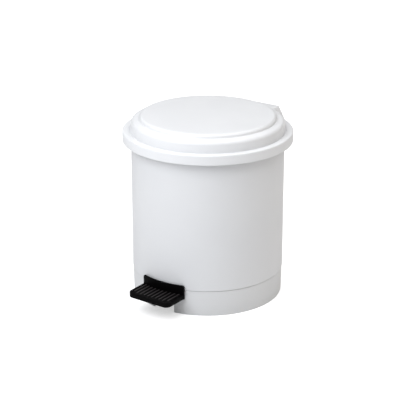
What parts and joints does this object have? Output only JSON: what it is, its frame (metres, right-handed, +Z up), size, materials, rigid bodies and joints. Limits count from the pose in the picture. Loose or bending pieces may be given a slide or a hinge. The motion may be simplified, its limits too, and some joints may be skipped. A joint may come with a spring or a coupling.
{
  "type": "pedal trash can",
  "caption": "Small round pedal trash can with a domed lid, a lift-out inner bucket and a foot pedal that opens the lid through a lever and a push rod.",
  "frame": {"origin": "centre of the bounding box, on the floor the bin stands on; the casing's own axis is 8.5 mm towards +Y of it", "axes": "+Z up, -Y towards the pedal (front), +Y towards the lid hinge (rear), +X to the right of someone who faces the rear from the pedal side"},
  "size_m": [0.2334, 0.263, 0.2544],
  "materials": {
    "white_plastic": "satin white moulded polypropylene",
    "black_plastic": "fine-grained black moulded plastic",
    "grey_plastic": "light grey moulded plastic",
    "bucket_plastic": "light grey moulded plastic, a little rough",
    "steel": "zinc-plated steel",
    "rubber": "matt dark rubber"
  },
  "bodies": {
    "casing": {"outer_body": "white_plastic", "base_ring": "white_plastic", "base_screw_1": "steel", "base_screw_2": "steel", "base_screw_3": "steel", "base_screw_4": "steel", "hinge_bracket": "grey_plastic", "bracket_screw_left": "steel", "bracket_screw_right": "steel", "hinge_pin": "steel", "pin_cap_left": "grey_plastic", "pin_cap_right": "grey_plastic", "rod_guide_lower": "grey_plastic", "rod_guide_upper": "grey_plastic", "pedal_axle": "steel", "axle_cap_left": "black_plastic", "axle_cap_right": "black_plastic"},
    "lid": {"lid_shell": "white_plastic", "hinge_cover": "white_plastic", "lid_hinge_block": "grey_plastic", "crank_pin": "steel", "cover_screw_left": "steel", "cover_screw_right": "steel", "block_screw_left": "steel", "block_screw_right": "steel", "lid_bumper_1": "rubber", "lid_bumper_2": "rubber", "lid_bumper_3": "rubber"},
    "pedal": {"pedal": "black_plastic", "pedal_lever": "steel", "pedal_screw_rear": "steel", "pedal_screw_front": "steel"},
    "push_rod": {"push_rod": "steel", "rod_head": "grey_plastic", "rod_foot": "grey_plastic"},
    "bucket": {"inner_bucket": "bucket_plastic"},
    "bail": {"bail_handle": "steel", "bail_grip": "white_plastic"}
  },
  "joints": [
    {"name": "lid_open", "type": "hinge", "parent": "casing", "child": "lid", "pos_m": [0, 0.125, 0.226], "axis": [-1, 0, 0], "range_deg": [0, 70]},
    {"name": "pedal_press", "type": "hinge", "parent": "casing", "child": "pedal", "pos_m": [0, -0.0395, 0.02], "axis": [1, 0, 0], "range_deg": [0, 10.5]},
    {"name": "rod_lift", "type": "slide", "parent": "casing", "child": "push_rod", "axis": [0, 0, 1], "range_m": [0, 0.0267]},
    {"name": "bucket_lift", "type": "slide", "parent": "casing", "child": "bucket", "axis": [0, 0, 1], "range_m": [0, 0.02]},
    {"name": "bail_swing", "type": "hinge", "parent": "bucket", "child": "bail", "pos_m": [0, 0.0085, 0.19], "axis": [-1, 0, 0], "range_deg": [0, 40]}
  ],
  "couplings": [
    {"joint": "pedal_press", "follows": "lid_open", "ratio": 0.149},
    {"joint": "rod_lift", "follows": "lid_open", "m_per_rad": 0.021779}
  ]
}
